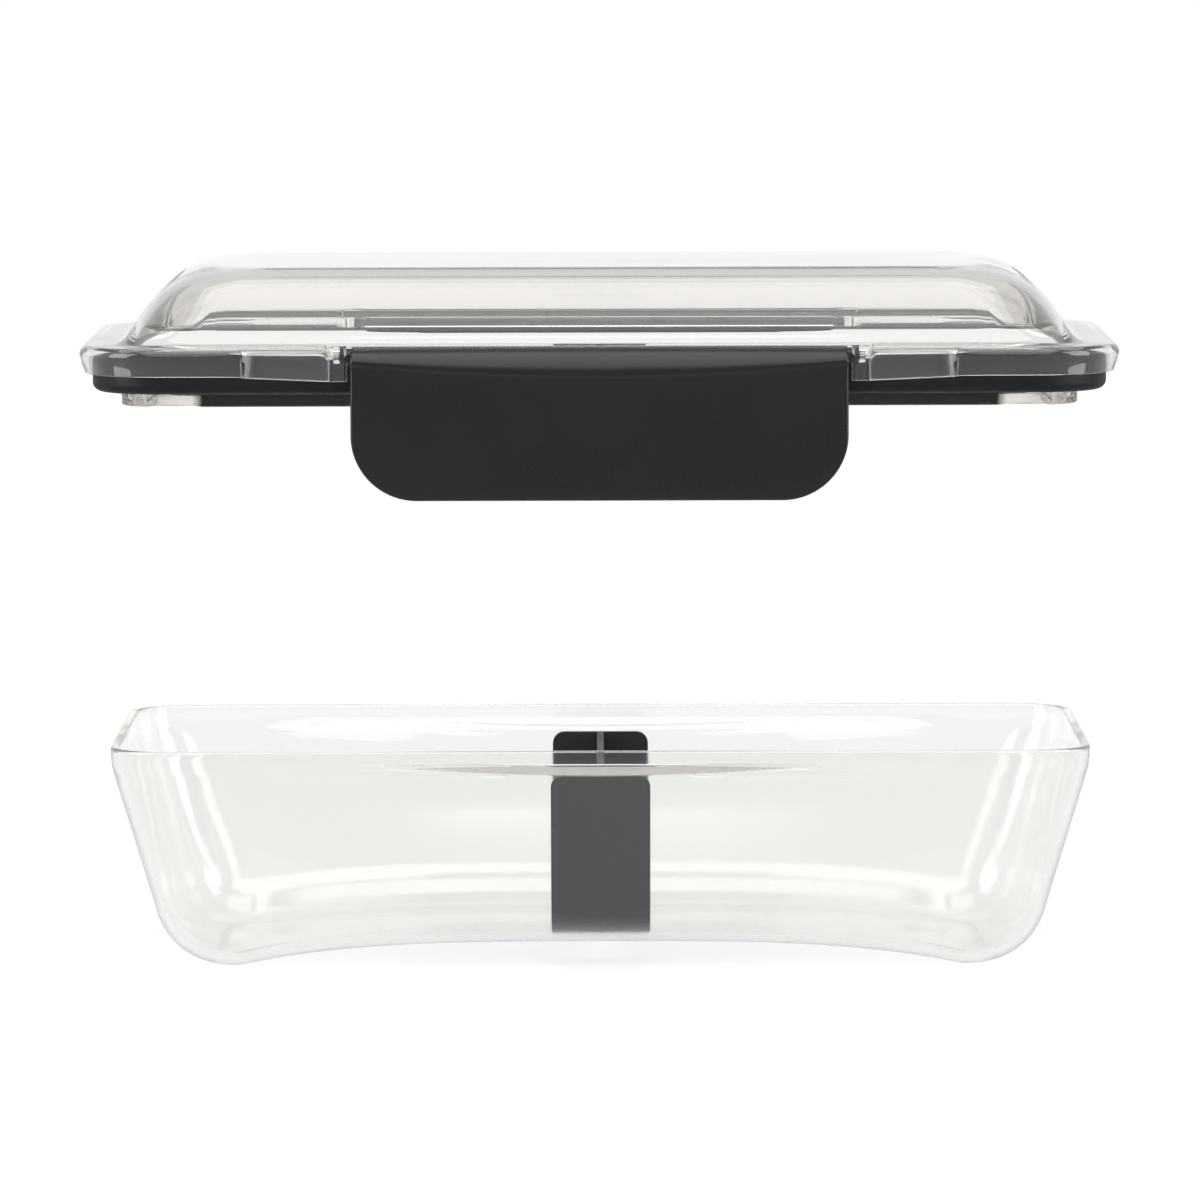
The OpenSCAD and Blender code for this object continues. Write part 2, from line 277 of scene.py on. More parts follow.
def apply_modifiers(obj):
    """Makes what the modifiers of obj show its own mesh."""
    seen = obj.evaluated_get(bpy.context.evaluated_depsgraph_get())
    mesh = bpy.data.meshes.new_from_object(seen)
    obj.modifiers.clear()
    obj.data = mesh


def bevelled(obj, width, segments=3):
    """Rounds the sharp edges of obj."""
    mod = obj.modifiers.new("edges", "BEVEL")
    mod.width = width * MM
    mod.segments = segments
    mod.limit_method = "ANGLE"
    mod.angle_limit = math.radians(35)
    apply_modifiers(obj)
    return obj


def combine(obj, others, operation):
    """Joins the other solids to obj, or cuts them out of it, and deletes them."""
    for other in others:
        mod = obj.modifiers.new("solid", "BOOLEAN")
        mod.operation = operation
        mod.solver = "MANIFOLD"
        mod.object = other
    apply_modifiers(obj)
    for other in others:
        bpy.data.objects.remove(other)
    return obj


def round_inset(radius, near):
    """How far a rounded edge or corner is drawn in at the distance near from its end."""
    return radius - math.sqrt(max(0.0, radius ** 2 - max(0.0, radius - near) ** 2))


def cylinder_x(name, x0, x1, y, z, r, steps=40, edge=0.0):
    """Cylinder along X, with rounded rims if edge is given."""
    turn = [2 * math.pi * k / steps for k in range(steps)]

    def loop_at(x):
        inset = round_inset(edge, min(abs(x - x0), abs(x - x1)))
        return [(y + (r - inset) * math.cos(t), z + (r - inset) * math.sin(t)) for t in turn]
    rim = [edge * t for t in (0.15, 0.5, 1)] if edge else []
    places = [x0] + [x0 + d for d in rim] + [x1 - d for d in rim[::-1]] + [x1]
    return loft_across(name, places, loop_at)


def finish_piece(obj, body, nodes, material, sharp=32):
    """Smooth shading with sharp folds kept, then the material, the body and the nodes it stands for."""
    for face in obj.data.polygons:
        face.use_smooth = True
    obj.data.set_sharp_from_angle(angle=math.radians(sharp))
    obj.data.materials.clear()
    obj.data.materials.append(material)
    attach(obj, body)
    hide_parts(*nodes)
    return obj


def mix(a, b, t):
    """From a at t = 0 to b at t = 1, and level beyond them."""
    return a + (b - a) * np.clip(t, 0, 1)


def ease(t):
    """From 0 to 1 with a smooth start and end."""
    t = np.clip(t, 0, 1)
    return t * t * (3 - 2 * t)


# ======================================================================================
# Materials
# ======================================================================================
class Nodes:
    """Short names for building one material's nodes."""

    def __init__(self, name):
        self.mat = bpy.data.materials.new(name)
        self.mat.use_nodes = True
        self.tree = self.mat.node_tree
        self.shader = next(n for n in self.tree.nodes if n.type == "BSDF_PRINCIPLED")
        self.out = next(n for n in self.tree.nodes if n.type == "OUTPUT_MATERIAL")
        self.place = self.add("ShaderNodeTexCoord").outputs["Object"]

    def add(self, kind, **values):
        node = self.tree.nodes.new(kind)
        for key, value in values.items():
            setattr(node, key, value)
        return node

    def link(self, a, b):
        self.tree.links.new(a, b)

    def noise(self, scale, detail=2.0, rough=0.5, stretch=None):
        node = self.add("ShaderNodeTexNoise")
        node.inputs["Scale"].default_value = scale
        node.inputs["Detail"].default_value = detail
        node.inputs["Roughness"].default_value = rough
        source = self.place
        if stretch:
            scaled = self.add("ShaderNodeMapping")
            scaled.inputs["Scale"].default_value = stretch
            self.link(self.place, scaled.inputs["Vector"])
            source = scaled.outputs["Vector"]
        self.link(source, node.inputs["Vector"])
        return node.outputs["Fac"]

    def span(self, value, low, high, to_low, to_high):
        node = self.add("ShaderNodeMapRange")
        for key, number in zip(("From Min", "From Max", "To Min", "To Max"), (low, high, to_low, to_high)):
            node.inputs[key].default_value = number
        self.link(value, node.inputs["Value"])
        return node.outputs["Result"]

    def math(self, operation, a, b):
        node = self.add("ShaderNodeMath", operation=operation)
        for socket, value in zip(node.inputs, (a, b)):
            if isinstance(value, (int, float)):
                socket.default_value = value
            else:
                self.link(value, socket)
        return node.outputs["Value"]

    def colours(self, value, low, high):
        node = self.add("ShaderNodeMix", data_type="RGBA")
        node.inputs["A"].default_value = (*low, 1)
        node.inputs["B"].default_value = (*high, 1)
        self.link(value, node.inputs["Factor"])
        return node.outputs["Result"]

    def bump(self, height, distance, strength, under=None):
        node = self.add("ShaderNodeBump")
        node.inputs["Distance"].default_value = distance * MM
        node.inputs["Strength"].default_value = strength
        self.link(height, node.inputs["Height"])
        if under is not None:
            self.link(under, node.inputs["Normal"])
        return node.outputs["Normal"]


def painted_shade_band(n, colour, painted_shade, half_x, low, high):
    """Paints colour nearly black on the straight stretches between two heights, in millimetres: painted
    shade for the dark that the clear tongue shows by refraction.
    """
    split = n.add("ShaderNodeSeparateXYZ")
    n.link(n.place, split.inputs["Vector"])
    across = n.span(n.math("ABSOLUTE", split.outputs["X"], 0), (half_x - 1) * MM, (half_x + 1) * MM, 1, 0)
    under = n.span(split.outputs["Z"], (high - 0.1) * MM, (high + 0.1) * MM, 1, 0)
    over = n.span(split.outputs["Z"], (low - 0.2) * MM, low * MM, 0, 1)
    node = n.add("ShaderNodeMix", data_type="RGBA")
    n.link(n.math("MULTIPLY", n.math("MULTIPLY", under, over), across), node.inputs["Factor"])
    n.link(colour, node.inputs["A"])
    node.inputs["B"].default_value = (*painted_shade, 1)
    return node.outputs["Result"]


def frosted(n, rough, x_from, x_to, y_from, extra):
    """Adds extra to the roughness of the walls beyond y_from, between two distances from the middle."""
    split = n.add("ShaderNodeSeparateXYZ")
    n.link(n.place, split.inputs["Vector"])
    across, out = (n.math("ABSOLUTE", split.outputs[axis], 0) for axis in "XY")
    beyond, before = n.math("GREATER_THAN", across, x_from * MM), n.math("LESS_THAN", across, x_to * MM)
    zone = n.math("MULTIPLY", n.math("MULTIPLY", beyond, before), n.math("GREATER_THAN", out, y_from * MM))
    return n.math("ADD", rough, n.math("MULTIPLY", zone, extra))


def clear_plastic(name, tint, haze, absorb, density, gloss=0.5, painted_shade=None, frost=None):
    """Clear moulded plastic with faint flow waves and fine marks. It bends light and lets lamps through."""
    n = Nodes(name)
    s = n.shader
    s.inputs["Transmission Weight"].default_value = 1.0
    s.inputs["IOR"].default_value = 1.52
    flow = n.noise(14, 2, 0.4, stretch=(0.35, 1, 1))
    marks = n.noise(900, 3, 0.6, stretch=(0.08, 1, 1))
    colour = n.colours(flow, *tint)
    # painted shade: the tongue's straight stretches are coloured nearly black, for the dark they show by
    # refraction
    if painted_shade:
        colour = painted_shade_band(n, colour, *painted_shade)
    n.link(colour, s.inputs["Base Color"])
    rough = n.math("ADD", n.span(flow, 0.3, 0.7, *haze), n.span(marks, 0.66, 0.8, 0.0, 0.05))
    if frost:
        rough = frosted(n, rough, *frost)
    n.link(rough, s.inputs["Roughness"])
    s.inputs["Specular IOR Level"].default_value = gloss
    n.link(n.bump(flow, 1.2, 0.25), s.inputs["Normal"])
    path = n.add("ShaderNodeLightPath")
    clear = n.add("ShaderNodeBsdfTransparent")
    clear.inputs["Color"].default_value = (0.93, 0.935, 0.93, 1)
    through = n.add("ShaderNodeMixShader")
    unlit = n.math("MAXIMUM", path.outputs["Is Shadow Ray"], path.outputs["Is Diffuse Ray"])
    n.link(unlit, through.inputs["Fac"])
    n.link(s.outputs["BSDF"], through.inputs[1])
    n.link(clear.outputs["BSDF"], through.inputs[2])
    n.link(through.outputs["Shader"], n.out.inputs["Surface"])
    volume = n.add("ShaderNodeVolumeAbsorption")
    volume.inputs["Color"].default_value = (*absorb, 1)
    volume.inputs["Density"].default_value = density
    n.link(volume.outputs["Volume"], n.out.inputs["Volume"])
    return n.mat


def dark_plastic(name, low, high, rough, grain_mm, gloss):
    """Satin moulded plastic with a fine grain, slight colour variation and rubbed patches."""
    n = Nodes(name)
    s = n.shader
    cloud = n.noise(35, 3, 0.6)
    grain = n.noise(1 / (grain_mm * MM), 2, 0.6)
    n.link(n.colours(cloud, low, high), s.inputs["Base Color"])
    rubbed = n.math("ADD", n.span(cloud, 0.3, 0.7, *rough), n.span(grain, 0.3, 0.7, -0.03, 0.03))
    n.link(rubbed, s.inputs["Roughness"])
    s.inputs["Specular IOR Level"].default_value = gloss
    n.link(n.bump(grain, 0.02, 0.5), s.inputs["Normal"])
    return n.mat


def seal_rubber(name):
    """Black silicone with specks of dust on it."""
    n = Nodes(name)
    s = n.shader
    dust = n.noise(1500, 4, 0.7)
    skin = n.noise(220, 2, 0.5)
    specks = n.span(dust, 0.72, 0.8, 0, 1)
    n.link(n.colours(specks, (0.005, 0.005, 0.0062), (0.08, 0.08, 0.08)), s.inputs["Base Color"])
    n.link(n.span(skin, 0.3, 0.7, 0.42, 0.56), s.inputs["Roughness"])
    s.inputs["Specular IOR Level"].default_value = 0.24
    n.link(n.bump(skin, 0.03, 0.4), s.inputs["Normal"])
    return n.mat


# ======================================================================================
# Container
# ======================================================================================
def lean(depth, draft):
    """Inset of a wall at a depth below the rim: upright, then eased over to its lean."""
    d = np.asarray(depth, float) - KNEE_Z
    bend = KNEE_R * math.sin(draft)
    eased = KNEE_R - np.sqrt(np.maximum(0, KNEE_R ** 2 - np.clip(d, 0, bend) ** 2))
    straight = KNEE_R * (1 - math.cos(draft)) + (d - bend) * math.tan(draft)
    return np.where(d <= 0, 0, np.where(d < bend, eased, straight))


def half_at(half, draft, skin_in, z):
    """Half size of the container at height z, for a surface that lies skin_in inside the outer one."""
    z = np.asarray(z, float)
    touch = FLOOR_R * (1 - math.sin(draft))
    centre = half - lean(RIM_Z - touch, draft) - FLOOR_R * math.cos(draft)
    r = FLOOR_R - skin_in
    rounding = centre + np.sqrt(np.maximum(0, r * r - (FLOOR_R - z) ** 2))
    straight = half - lean(RIM_Z - z, draft) - skin_in / math.cos(draft)
    return np.where(z >= FLOOR_R - r * math.sin(draft), straight, rounding)


def plan_r(skin_in, z):
    """Corner radius of the container in plan at height z."""
    z = np.asarray(z, float)
    touch = FLOOR_R - (FLOOR_R - skin_in) * math.sin(END_DRAFT)
    upper = mix(WAIST_R, RIM_R, (z - touch) / (RIM_Z - touch)) - skin_in
    shrunk = half_at(RIM_X, END_DRAFT, skin_in, touch) - half_at(RIM_X, END_DRAFT, skin_in, z)
    return np.where(z >= touch, upper, WAIST_R - skin_in - shrunk)


def arch(x):
    """Height of the underside at x, below 0 where the feet are."""
    return ARCH_H * np.maximum(0, 1 - (np.abs(x) / ARCH_HALF) ** ARCH_POWER) - FOOT_CUT


def waist(x, z):
    """How far the front and back walls are drawn in."""
    fade = np.clip((RIM_Z - z - WAIST_FROM) / (LIP_H - WAIST_FROM), 0, 1)
    return WAIST_D * np.maximum(0, 1 - (x / WAIST_HALF) ** 2) * fade


def body_ring(columns, skin_in, z, shrink=1.0):
    """One ring of the container's skin; shrink draws it in over the floor."""
    z = np.broadcast_to(np.asarray(z, float), (columns.n,))
    hx = half_at(RIM_X, END_DRAFT, skin_in, z)
    hy = half_at(RIM_Y, FACE_DRAFT, skin_in, z)
    p = columns.ring(hx, hy, plan_r(skin_in, z), z) * (shrink, shrink, 1)
    p[:, 1] *= 1 - waist(p[:, 0], z) / hy
    p[:, 2] = np.maximum(0, z + arch(p[:, 0]) * mix(1, 0, z / ARCH_FADE))
    return p


def rim_ring(columns, inset, depth):
    """A ring of the upright rim, in from its outer face."""
    return columns.ring(RIM_X - inset, RIM_Y - inset, RIM_R - inset, RIM_Z - depth)


def lip_depth(columns):
    """Depth of the crescent lip under the rim at each column, and the small band that goes all round."""
    x = rim_ring(columns, 0, 0)[:, 0]
    crescent = LIP_H - (LIP_R - np.sqrt(LIP_R ** 2 - x ** 2))
    return (crescent + LIP_LEAST + np.sqrt((crescent - LIP_LEAST) ** 2 + LIP_BLEND ** 2)) / 2


def lip_rings(columns, lip, wall):
    """Rings of the step from the wall's last ring out to the lip, with the lip's rounded lower edge."""
    step = np.maximum(0, np.abs(rim_ring(columns, 0, 0)[:, 1]) - np.abs(wall[:, 1]))
    step = np.where(np.abs(wall[:, 0]) < WAIST_HALF + 6, step, 0)
    edge = np.minimum(LIP_EDGE, step * 0.4)
    sign = np.sign(wall[:, 1])
    root = wall.copy()
    root[:, 1] += sign * np.minimum(0.3, step * 0.3)
    root[:, 2] = RIM_Z - lip - STEP
    rings = [root]
    for a in np.radians([0, 30, 60, 90]):
        p = rim_ring(columns, 0, lip - edge * math.sin(a))
        p[:, 1] -= sign * edge * (1 - math.sin(a))
        p[:, 2] = RIM_Z - lip + edge * (1 - math.cos(a)) + STEP * math.sin(a)
        rings.append(p)
    return rings


def rim_rings(columns):
    """Rings over the rim, from its rounded outer edge to its rounded inner one."""
    turn = np.radians([30, 60, 90])
    insets = [RIM_EDGE * (1 - math.cos(a)) for a in turn]
    depths = [RIM_EDGE * (1 - math.sin(a)) for a in turn]
    insets += [WALL - i for i in insets[::-1]] + [WALL]
    depths += depths[::-1] + [RIM_EDGE]
    return [rim_ring(columns, i, d) for i, d in zip(insets, depths)]


def make_container():
    columns = Columns(np.linspace(1, 0, 49)[1:], 14, 14)
    lip = lip_depth(columns)
    outer = [body_ring(columns, 0, 0.0, s) for s in FLOOR_SHRINKS]
    outer += [body_ring(columns, 0, FLOOR_R * (1 - math.sin(a))) for a in FLOOR_TURN]
    outer += [body_ring(columns, 0, z) for z in np.linspace(FLOOR_R - 3, WALL_MID, 10)]
    for t in (0.25, 0.5, 0.75, 0.9, 1.0):
        outer.append(body_ring(columns, 0, RIM_Z - mix(RIM_Z - WALL_MID, lip + 0.3, t)))
    outer += lip_rings(columns, lip, outer[-1])
    outer += [rim_ring(columns, 0, mix(lip - 0.4, RIM_EDGE, t)) for t in (0.5, 1.0)]
    outer += rim_rings(columns)
    inner = [body_ring(columns, WALL, RIM_Z - d) for d in (1.2, 2.0, 2.8, 3.4, 4.0, 4.6, 5.2, 6, 7.5, 10)]
    inner += [body_ring(columns, WALL, z) for z in np.linspace(WALL_MID, FLOOR_R - 3, 10)]
    r = FLOOR_R - WALL
    inner += [body_ring(columns, WALL, FLOOR_R - r * math.sin(a)) for a in FLOOR_TURN[::-1]]
    inner += [body_ring(columns, WALL, WALL, s) for s in FLOOR_SHRINKS[::-1]]
    return loft_round("clear_container", outer + inner)


# ======================================================================================
# Divider
# ======================================================================================
def wall_point(z, gap):
    """Inner wall of the container in the plane of the divider, as (y, z), moved in by gap."""
    y = float(half_at(RIM_Y, FACE_DRAFT, WALL, z)) - float(waist(0, z)) - gap
    lift = gap * (FLOOR_R - z) / (FLOOR_R - WALL) if z < FLOOR_R else 0
    return y, z + float(arch(0)) * float(mix(1, 0, z / ARCH_FADE)) + lift


def divider_web():
    """Outline of the divider's web, as (y, z): it follows the floor and the walls up to the top."""
    r = FLOOR_R - WALL
    levels = [FLOOR_R - r * math.sin(a) for a in FLOOR_TURN]
    levels += [*np.linspace(12.5, 40, 15), DIVIDER_TOP]
    line = [wall_point(z, DIVIDER_GAP) for z in levels]
    return line + [(-y, z) for y, z in line[::-1]]


def divider_flange(sign):
    """An end flange along the wall on the side of sign, with rounded edges and upper corners."""
    half = DIVIDER_FLANGE_X

    def loop_at(x):
        inset = round_inset(DIVIDER_EDGE, half - abs(x))
        high = DIVIDER_TOP - round_inset(FLANGE_CORNER, half - abs(x))
        levels = np.linspace(WALL + FLANGE_LIFT, high, 28)
        outer = [wall_point(z, DIVIDER_GAP + inset) for z in levels]
        inner = [wall_point(z, DIVIDER_GAP + DIVIDER_T - inset) for z in levels]
        return [(sign * y, z) for y, z in outer + inner[::-1]]
    flat = half - FLANGE_CORNER
    corner = flat + FLANGE_CORNER * np.sin(np.radians(np.linspace(0, 90, 12)))
    right = list(np.linspace(0, flat, 9)) + list(corner[1:])
    return loft_across("divider_flange", [-x for x in right[:0:-1]] + right, loop_at)


def make_divider():
    web = divider_web()
    plate = loft_across("divider_plate", [-DIVIDER_T / 2, DIVIDER_T / 2], lambda _: web)
    return combine(bevelled(plate, DIVIDER_EDGE), [divider_flange(1), divider_flange(-1)], "UNION")


# ======================================================================================
# Lid
# ======================================================================================
def lid_columns():
    """Columns of the lid's rings, close together where the skirt changes its form along the long sides."""
    places = [BULGE_X + 2.5 * k for k in range(1, 6)] + [BULGE_X + 0.04, BULGE_END]
    places += [BULGE_X - 0.6 * k for k in range(6)]
    places += [EAR_OUT + 2.5 + 3 * k for k in range(4)]
    places += [EAR_OUT + d for d in (1.3, 0.7, 0.1, STEP, 0, -GROOVE_HALF, -2 * GROOVE_HALF)]
    places += [EAR_IN + d for d in (1.9, 0.7, EAR_BEVEL_X, 0.25, STEP, 0, -1.2)]
    places += [4 * k for k in range(13)]
    flat = LID_X - LID_R
    return Columns([x / flat for x in sorted(places, reverse=True)], 12, 16)


def lid_skirt(columns):
    """The skirt's outer outline without its ears, and the way out of it at each column."""
    outline = columns.ring(LID_X, LID_Y, LID_R, 0)
    return outline, outline - columns.ring(LID_X - 1, LID_Y - 1, LID_R - 1, 0)


def follow(x, line):
    """Value at x of a line through (x, value) pairs."""
    places, values = zip(*line)
    return np.interp(x, places, values)


def skirt_form(x):
    """Along a long side: how far out the outer and inner faces stand, and the heights of top and bottom."""
    ear = EAR_Y - LID_Y
    bulge = BULGE_Y * (1 - ease((x - BULGE_END) / (BULGE_X - BULGE_END)))
    groove = EAR_OUT - GROOVE_HALF
    out = follow(x, [
        (EAR_IN, -NOTCH_IN), (EAR_IN + STEP, ear - EAR_BEVEL), (EAR_IN + EAR_BEVEL_X, ear),
        (groove - GROOVE_HALF, ear), (groove, ear - EAR_GROOVE), (EAR_OUT, ear - 0.1), (BULGE_END, BULGE_Y),
    ])
    inside = follow(x, [
        (EAR_IN, -NOTCH_BACK), (EAR_IN + STEP, -SKIRT_T), (EAR_OUT, -SKIRT_T),
        (EAR_OUT + STEP, ear - SKIRT_T), (BULGE_END, BULGE_Y - SKIRT_T),
    ])
    top = follow(x, [(EAR_IN, 0), (EAR_IN + STEP, EAR_TOP), (groove - GROOVE_HALF, EAR_TOP), (groove, 0)])
    bottom = follow(x, [(EAR_IN, -LID_T), (EAR_IN + STEP, -EAR_H), (EAR_OUT, -EAR_H), (BULGE_X, -SKIRT_H)])
    out = np.where(x > BULGE_END, bulge, out)
    inside = np.where(x > BULGE_END, bulge - SKIRT_T, inside)
    return out, inside, top, bottom


def channel_roof(x, begin):
    """Height of the channel's roof, which is thinner beyond the ears: it rises within 1 mm from begin."""
    return mix(-LID_T, -ROOF_T, ease(x - begin))


def dome_half(foot, form, skin_in, z):
    """Half size of the dome at height z above the flange."""
    slope, r = form
    centre_z = DOME_H - r
    touch = centre_z + r * math.cos(slope)
    centre = foot - touch / math.tan(slope) - r * math.sin(slope)
    rin = r - skin_in
    if z >= centre_z + rin * math.cos(slope):
        return centre + math.sqrt(max(0, rin * rin - (z - centre_z) ** 2))
    return foot - z / math.tan(slope) - skin_in / math.sin(slope)


def dome_ring(columns, skin_in, z, shrink=1.0):
    """One ring of the dome's skin; shrink draws it in over the top."""
    hx, hy = (dome_half(f, form, skin_in, z) for f, form in zip(DOME_FOOT, (DOME_END, DOME_FACE)))
    if skin_in == 0:
        hx, hy = (fillet_half(h, form, z) for h, form in ((hx, DOME_END), (hy, DOME_FACE)))
    r = float(mix(DOME_FOOT_R, DOME_TOP_R, z / DOME_H)) - skin_in / 2
    return columns.ring(hx, hy, r, z) * (shrink, shrink, 1)


def fillet_half(half, form, z):
    """Half size of the dome with the fillet that runs out into the flange."""
    slope = form[0]
    reach = DOME_FILLET * math.tan(slope / 2)
    if z >= reach * math.sin(slope):
        return half
    foot = half + z / math.tan(slope)
    return foot + reach - math.sqrt(max(0, DOME_FILLET ** 2 - (DOME_FILLET - z) ** 2))


def dome_levels(top, low):
    """Heights from the top of the dome down to low, close together where it turns over."""
    return [top - (top - low) * (k / DOME_STEPS) ** 2 for k in range(DOME_STEPS + 1)]


def dome_outside(columns):
    """Rings from the top of the dome down its outside and along the fillet into the flange."""
    fillet_top = DOME_FILLET * math.tan(DOME_FACE[0] / 2) * math.sin(DOME_FACE[0])
    rings = [dome_ring(columns, 0, DOME_H, s) for s in DOME_SHRINKS]
    rings += [dome_ring(columns, 0, z) for z in dome_levels(DOME_H, fillet_top)]
    turn = np.radians(np.linspace(64, 0, 11))
    return rings + [dome_ring(columns, 0, DOME_FILLET * (1 - math.cos(a))) for a in turn]


def dome_inside(columns, start):
    """Rings from the ring start, on top of the tongue's inner face, up the inside of the dome."""
    end = dome_ring(columns, LID_T, DOME_LOW)
    top = DOME_H - LID_T
    rings = [start + (end - start) * t for t in (0.06, 0.3, 0.6, 0.94)]
    rings += [dome_ring(columns, LID_T, z) for z in dome_levels(top, DOME_LOW)[::-1]]
    return rings + [dome_ring(columns, LID_T, top, s) for s in DOME_SHRINKS[::-1]]


def skirt_rings(at, x, roof):
    """Rings from the flange over the ears, down the skirt, round its lower edge and up into the channel."""
    out, inside, top, bottom = skirt_form(x)
    plain = ease((x - BULGE_END) / SKIRT_TURN)
    edge = mix(EAR_EDGE, FLANGE_EDGE, plain)
    tilt = mix(0, SKIRT_LEAN, plain)
    rise = np.minimum(-2.0, out - 1.0)
    rings = [at(rise, 0), at(rise + 0.08, top)]
    for a in np.radians(range(0, 91, 15)):
        rings.append(at(out - edge * (1 - math.sin(a)), top - edge * (1 - math.cos(a))))
    low = bottom + SKIRT_FOOT
    inner = inside - tilt * 0.6
    shallow = bottom >= roof - 0.01
    return rings + [
        at(out - tilt * 0.4, mix(top - edge, low, 0.5)),
        at(out - tilt, low),
        at(out - tilt - SKIRT_FOOT * 0.3, bottom + SKIRT_FOOT * 0.3),
        at(out - tilt - SKIRT_FOOT, bottom),
        at(inner + 0.25, bottom),
        at(inner, np.where(shallow, roof, bottom + 0.25)),
        at(inside - 0.04, np.where(shallow, roof, roof - 0.3)),
        at(inside - 0.3, roof),
    ]


def tongue_rings(at, roof):
    """Rings from the channel's roof down the tongue, round its tip and up its inner face."""
    face, back = -TONGUE_IN, -TONGUE_IN - LID_T
    rings = [at(face + 0.25, roof), at(face, roof - 0.2), at(face, -SEAL_H), at(face, -TONGUE_H + 0.5)]
    for a in np.radians([30, 60, 90]):
        low = -TONGUE_H + TONGUE_TIP * (1 - math.sin(a))
        rings.append(at(face - TONGUE_TIP * (1 - math.cos(a)), low))
    return rings + [
        at(face - TONGUE_TIP - 0.15, -TONGUE_H + 0.05),
        at(back + 0.12, -SEAL_H - 0.25),
        at(back, -SEAL_H + 0.1),
        at(back, -6.0),
        at(back, -3.4),
    ]


def make_lid():
    columns = lid_columns()
    outline, away = lid_skirt(columns)
    x = np.abs(outline[:, 0])
    roof = channel_roof(x, EAR_OUT)

    def at(outward, z):
        """The skirt's outline, moved outward and to height z."""
        p = outline + away * np.broadcast_to(np.asarray(outward, float), (columns.n,))[:, None]
        p[:, 2] = z
        return p
    rings = dome_outside(columns) + skirt_rings(at, x, roof) + tongue_rings(at, roof)
    rings += dome_inside(columns, rings[-1])
    lid = loft_round("clear_lid", [r + (0, 0, LID_Z) for r in rings])
    bores = []
    for sx in (-1, 1):
        for sy in (-1, 1):
            ends = sorted((sx * (EAR_IN - 1), sx * (EAR_IN + 2.7)))
            bores.append(cylinder_x("bore", *ends, sy * HINGE_Y, LID_Z + HINGE_Z, PIN_R + PIN_FIT))
    return combine(lid, bores, "DIFFERENCE")


def make_seal():
    flat = LID_X - LID_R
    rise = EAR_OUT + SEAL_LAG
    close = [rise + d for d in (-0.1, 0.3, 0.7, 1.1)]
    places = sorted([*np.linspace(0, flat, 40)[:-1], *close], reverse=True)
    columns = Columns([x / flat for x in places], 12, 16)
    outline, away = lid_skirt(columns)
    out, back = SEAL_X - LID_X, -TONGUE_IN + 0.05
    top, low = channel_roof(np.abs(outline[:, 0]), rise) - SEAL_GAP, -SEAL_H
    profile = [(back, top), (out - 0.5, top), (out - 0.15, top - 0.12), (out, top - 0.45), (out, -5.4)]
    for a in np.radians(range(0, 91, 10)):
        profile.append((out - SEAL_R * (1 - math.cos(a)), low + SEAL_R * (1 - math.sin(a))))
    profile += [(back + 1.2, low), (back + 0.5, low + 0.35), (back, low + 0.5)]
    rings = []
    for outward, z in profile:
        p = outline + away * outward
        p[:, 2] = LID_Z + z
        rings.append(p)
    return loft_hoop("seal_ring", rings)


# ======================================================================================
# Latches
# ======================================================================================
def crease_depth(x):
    """Depth below the latch's top at which its roll ends in a crease."""
    return CREASE_Z - x * x / CREASE_CURVE


def latch_loop(x):
    """Section of a latch at x, as (distance from the lid's middle, height from the flange), clockwise."""
    edge = LATCH_EDGE
    inset = round_inset(edge, LATCH_HALF - abs(x))
    low = LATCH_TOP - LATCH_H + round_inset(LATCH_R, LATCH_HALF - abs(x))
    front, back = LATCH_FRONT - inset, LATCH_FRONT - LATCH_T + inset
    roll_back = LATCH_FRONT - ROLL_R - 0.05
    depth, top = crease_depth(x), LATCH_TOP - inset
    roll = [
        (front - ROLL_R * (1 - math.cos(a)), top - depth * (1 - math.sin(a)))
        for a in np.radians(np.linspace(88, 0, 18))
    ]
    under = [
        (front - CREASE_D * float(ease(t)), top - depth - CREASE_RUN * t)
        for t in np.linspace(0, 1, 9)[1:]
    ]
    face = front - CREASE_D
    start = under[-1][1]
    bottom = low + edge
    down = [(face, start + (bottom - start) * k / 9) for k in range(1, 9)]
    turn = np.radians([0, 22, 45, 67, 90])
    foot = [(face - edge * (1 - math.cos(a)), low + edge * (1 - math.sin(a))) for a in turn]
    heel = [(back + edge * (1 - math.sin(a)), low + edge * (1 - math.cos(a))) for a in turn]
    shelf = LATCH_TOP - ROLL_R
    up = [(back, bottom + (shelf - 0.6 - bottom) * k / 9) for k in range(1, 10)]
    rear_y = roll_back + inset
    step = [(back - 0.15, shelf - 0.15), (back - 0.6, shelf), (rear_y + 0.4, shelf)]
    rear = [(rear_y, shelf + 0.4), (rear_y, top - 0.3), (rear_y + 0.25, top - 0.02)]
    return roll + under + down + foot + heel + up + step + rear


def latch_places():
    """Places across a latch, close together at the rounded corners and edges."""
    flat = LATCH_HALF - LATCH_R
    corner = flat + LATCH_R * np.sin(np.radians(np.linspace(0, 90, 22)))
    edge = [LATCH_HALF - s for s in (0.45, 0.3, 0.18, 0.08, 0.02)]
    right = sorted({*np.linspace(0, flat, 20), *(c for c in corner if c < LATCH_HALF - 0.5), *edge})
    return [-x for x in right[:0:-1]] + right


def hook_loop(x):
    """Section of the shelf that snaps under the crescent lip."""
    top = HOOK_TOP + LIP_R - math.sqrt(LIP_R ** 2 - x * x)
    inset = round_inset(HOOK_EDGE, HOOK_HALF - abs(x))
    root = LATCH_FRONT - LATCH_T / 2
    tip = HOOK_TIP + inset
    z0, z1 = top - HOOK_T + inset, top - inset
    under = [(root, z0), (tip + 0.5, z0), (tip + 0.15, z0 + 0.15), (tip, z0 + 0.3)]
    return under + [(tip, z1 - 0.3), (tip + 0.15, z1 - 0.1), (tip + 0.5, z1), (root, z1)]


